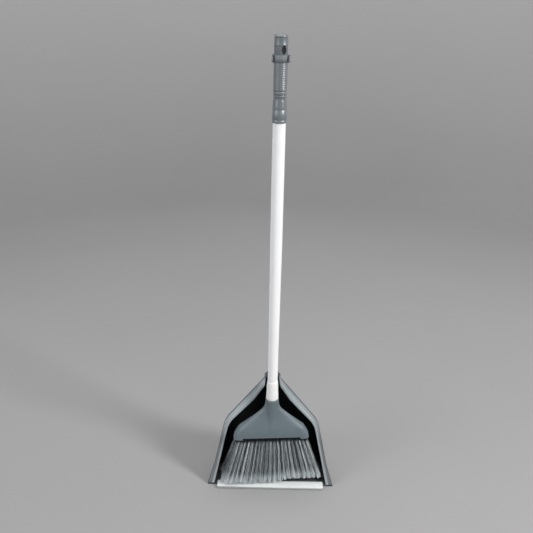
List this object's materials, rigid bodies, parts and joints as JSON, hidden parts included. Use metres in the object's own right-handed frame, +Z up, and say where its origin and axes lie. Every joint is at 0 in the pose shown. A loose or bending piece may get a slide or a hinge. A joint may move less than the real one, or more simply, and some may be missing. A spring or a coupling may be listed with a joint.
{
  "type": "dust pan and brush set",
  "caption": "Upright scoop dust pan with a pale lip and a long handle, and a long-handled flared brush clipped in front of it.",
  "frame": {"origin": "on the ground, at the middle of the footprint between the lip's front and the back wall", "axes": "+Z up, -Y out of the pan's mouth, +X to the right when looking into the mouth"},
  "size_m": [0.258, 0.1, 0.88],
  "materials": {
    "pan_plastic": "dark grey moulded plastic, glossy on the rim",
    "lip_rubber": "pale soft rubber",
    "inner_plastic": "dark plastic, hidden",
    "screw_steel": "zinc-plated steel",
    "tube_paint": "smooth white paint on steel tube",
    "grip_plastic": "slate grey plastic with a satin shine",
    "clip_plastic": "dark slate springy plastic",
    "ferrule_plastic": "white moulded plastic",
    "head_plastic": "slate grey plastic with a fine grain",
    "bristle_fibre": "mixed grey synthetic fibre with flagged tips"
  },
  "bodies": {
    "dustpan": {"pan_shell": "pan_plastic", "pan_lip": "lip_rubber", "pan_plug": "inner_plastic", "pan_screw": "screw_steel", "pan_tube": "tube_paint", "pan_collar": "grip_plastic", "pan_grip": "grip_plastic", "pan_cap": "grip_plastic", "brush_clip": "clip_plastic"},
    "brush": {"brush_cap": "grip_plastic", "brush_grip": "grip_plastic", "brush_collar": "grip_plastic", "brush_tube": "tube_paint", "ferrule": "ferrule_plastic", "thread_plug": "inner_plastic", "head_shell": "head_plastic", "bristle_block": "inner_plastic", "tuft_staples": "screw_steel", "bristles": "bristle_fibre", "block_screws": "screw_steel"}
  },
  "joints": [
    {"name": "brush_release", "type": "slide", "parent": "dustpan", "child": "brush", "axis": [0, -1, 0], "range_m": [0, 0.2]}
  ]
}
